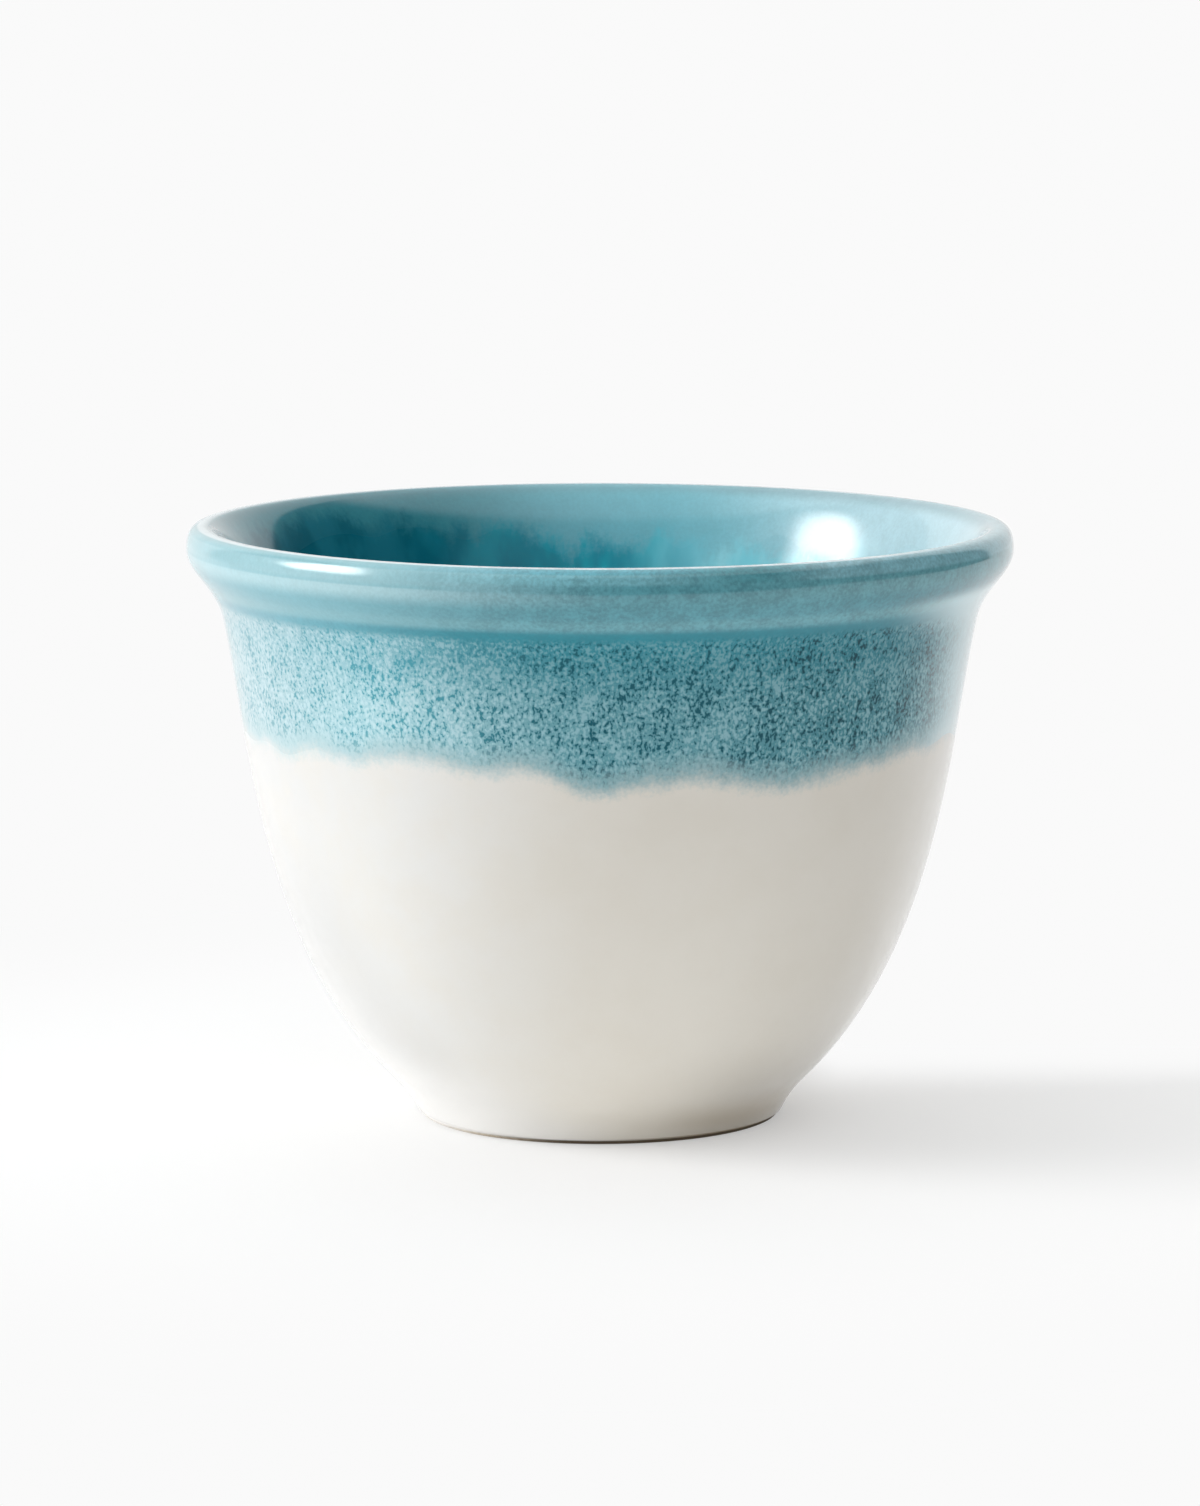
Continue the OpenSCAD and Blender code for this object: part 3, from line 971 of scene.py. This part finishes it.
def plain_amount(tree):
    """How far the table is plain white, from its place."""
    far = tree.nodes.new("ShaderNodeVectorMath")
    far.operation = "LENGTH"
    put(tree, far.inputs[0], place_of(tree))
    away = smooth(tree, far.outputs["Value"], PLAIN_FROM, PLAIN_TO, PLAIN_NEAR, 1.0)
    x, y, _ = place_parts(tree)
    beyond = times(tree, smooth(tree, y, *SHADOW_BACK), smooth(tree, x, *SHADOW_SIDE))
    return calc(tree, "MAXIMUM", away, smooth(tree, beyond, 0.0, 1.0, PLAIN_NEAR, 1.0))


def table_material():
    """Pale table that takes the shadow, with a faint glow that only lights other surfaces."""
    material, tree = new_material("pale_table")
    diffuse = tree.nodes.new("ShaderNodeBsdfDiffuse")
    put(tree, diffuse.inputs["Color"], TABLE_COLOUR)
    lit = tree.nodes.new("ShaderNodeAddShader")
    put(tree, lit.inputs[0], diffuse.outputs[0])
    put(tree, lit.inputs[1], light_of(tree, "ShaderNodeEmission", LAMP_WHITE, TABLE_GLOW))
    path = tree.nodes.new("ShaderNodeLightPath")
    seen = calc(tree, "ADD", path.outputs["Is Camera Ray"], path.outputs["Is Glossy Ray"])
    seen = calc(tree, "ADD", seen, path.outputs["Is Transmission Ray"], clamp=True)
    table = either(tree, seen, lit.outputs[0], diffuse.outputs[0])
    plain = light_of(tree, "ShaderNodeEmission", PLAIN_WHITE, 1.0)
    show(tree, either(tree, times(tree, plain_amount(tree), seen), table, plain))
    return material


def build_table():
    """The table top, a stage piece."""
    mesh = bpy.data.meshes.new("table_top")
    corners = [
        (-TABLE_SIDE, TABLE_FRONT, 0), (TABLE_SIDE, TABLE_FRONT, 0),
        (TABLE_SIDE, TABLE_BACK, 0), (-TABLE_SIDE, TABLE_BACK, 0),
    ]
    mesh.from_pydata(corners, [], [(0, 1, 2, 3)])
    mesh.materials.append(table_material())
    table = bpy.data.objects.new("table_top", mesh)
    bpy.context.scene.collection.objects.link(table)


# Room round the table: white backdrop behind, pale ceiling, grey in front, dark at the sides.
# The edges are values of a direction's Y part on the level, or of its Z part
ROOM_GREY = (0.8, 0.8, 0.8)
BACKDROP = 1.1
CEILING = 1.65
FRONT = 0.45
DIM = 0.05
BACKDROP_EDGE = (0.70, 0.76)
CEILING_EDGE = (0.70, 0.80)
FRONT_EDGE = (-0.45, -0.80)
FRONT_FOOT = (0.08, 0.24)
LEAST_FLAT = 0.001


def room_level(tree):
    """Strength of the room's light from each direction."""
    x, y, z = place_parts(tree, "Generated")
    flat = calc(tree, "SQRT", calc(tree, "ADD", times(tree, x, x), times(tree, y, y)))
    turn = calc(tree, "DIVIDE", y, calc(tree, "MAXIMUM", flat, LEAST_FLAT))
    back = smooth(tree, turn, *BACKDROP_EDGE, DIM, BACKDROP)
    front = smooth(tree, turn, *FRONT_EDGE, 0.0, FRONT)
    front = times(tree, front, smooth(tree, z, *FRONT_FOOT))
    top = smooth(tree, z, *CEILING_EDGE)
    walls = times(tree, calc(tree, "ADD", back, front), calc(tree, "SUBTRACT", 1.0, top))
    return calc(tree, "ADD", walls, times(tree, top, CEILING))


def build_world():
    """The room for everything but the camera, which sees plain white."""
    world = bpy.data.worlds.new("studio")
    bpy.context.scene.world = world
    world.use_nodes = True
    tree = world.node_tree
    tree.nodes.clear()
    room = light_of(tree, "ShaderNodeBackground", ROOM_GREY, room_level(tree))
    plain = light_of(tree, "ShaderNodeBackground", PLAIN_WHITE, 1.0)
    path = tree.nodes.new("ShaderNodeLightPath")
    both = either(tree, path.outputs["Is Camera Ray"], room, plain)
    show(tree, both, "ShaderNodeOutputWorld")


# Soft box at the left: azimuth from the front, elevation, distance, and the half width and
# half height of its lit cloth; the mesh is wider and reaches lower by the two factors
BOX_AZIMUTH = -87.0
BOX_ELEVATION = 30.0
BOX_DISTANCE = 1.5
BOX_HALF_W = 0.44
BOX_HALF_H = 0.53
BOX_MARGIN = 2.0
BOX_DROP = 1.3
BOX_LEVEL = 6.9
BOX_EDGE = (1.04, 0.48)
BOX_HOT = 5.9
BOX_HOT_EDGE = (0.80, 0.40)
BOX_CORNER = 3.0
# Brighter part of the cloth: how far lower it lies and how tall it is, in half heights
BOX_HOT_DROP = 0.22
BOX_HOT_TALL = 1.22
# Width of the cloth in half widths and place of its middle in metres, each at half height
# and for each half height further up
BOX_SPREAD = (1.09, -0.47)
BOX_SHIFT = (-0.03, -0.15)


def rounded(tree, across, up):
    """Distance from the middle of a rectangle with rounded corners, 1 at its edge."""
    across = calc(tree, "POWER", calc(tree, "ABSOLUTE", across), BOX_CORNER)
    up = calc(tree, "POWER", calc(tree, "ABSOLUTE", up), BOX_CORNER)
    return calc(tree, "POWER", calc(tree, "ADD", across, up), 1.0 / BOX_CORNER)


def cloth_material():
    """A white cloth lit from behind, fading towards its edges, with a brighter part."""
    material, tree = new_material("lit_cloth")
    x, y, _ = place_parts(tree)
    up = calc(tree, "DIVIDE", y, BOX_HALF_H)
    middle = calc(tree, "ADD", times(tree, up, BOX_SHIFT[1]), BOX_SHIFT[0])
    half = times(tree, up, BOX_SPREAD[1] * BOX_HALF_W)
    half = calc(tree, "ADD", half, BOX_SPREAD[0] * BOX_HALF_W)
    across = calc(tree, "DIVIDE", calc(tree, "SUBTRACT", x, middle), half)
    lower = times(tree, calc(tree, "ADD", up, BOX_HOT_DROP), 1.0 / BOX_HOT_TALL)
    wide = smooth(tree, rounded(tree, across, up), *BOX_EDGE, 0.0, BOX_LEVEL)
    hot = smooth(tree, rounded(tree, across, lower), *BOX_HOT_EDGE, 0.0, BOX_HOT)
    show(tree, light_of(tree, "ShaderNodeEmission", LAMP_WHITE, calc(tree, "ADD", wide, hot)))
    return material


def build_light():
    """The soft box, a stage piece turned to the cup."""
    mesh = bpy.data.meshes.new("soft_box")
    side = BOX_MARGIN * BOX_HALF_W
    low = -BOX_DROP * BOX_HALF_H
    high = BOX_HALF_H
    corners = [(-side, low, 0), (side, low, 0), (side, high, 0), (-side, high, 0)]
    mesh.from_pydata(corners, [], [(0, 1, 2, 3)])
    mesh.materials.append(cloth_material())
    light = bpy.data.objects.new("soft_box", mesh)
    bpy.context.scene.collection.objects.link(light)
    a = math.radians(BOX_AZIMUTH)
    e = math.radians(BOX_ELEVATION)
    aim = np.array([math.sin(a) * math.cos(e), -math.cos(a) * math.cos(e), math.sin(e)])
    light.location = aim * BOX_DISTANCE + np.array([0, 0, CUP_H * MM])
    light.rotation_euler = (math.pi / 2 - e, 0, a)


def build_camera():
    """The camera of the photograph."""
    data = bpy.data.cameras.new("camera")
    data.sensor_fit = "VERTICAL"
    data.sensor_height = SENSOR
    data.lens = LENS_PIXELS / PHOTO_H * SENSOR
    data.clip_start = CAMERA_CLIP
    camera = bpy.data.objects.new("camera", data)
    bpy.context.scene.collection.objects.link(camera)
    camera.location = (0, CAMERA_Y, CAMERA_Z)
    camera.rotation_euler = (math.radians(90 - CAMERA_PITCH), 0, 0)
    bpy.context.scene.camera = camera


build_camera()
build_cup()
build_table()
build_world()
build_light()
bpy.context.scene.view_settings.view_transform = "Standard"
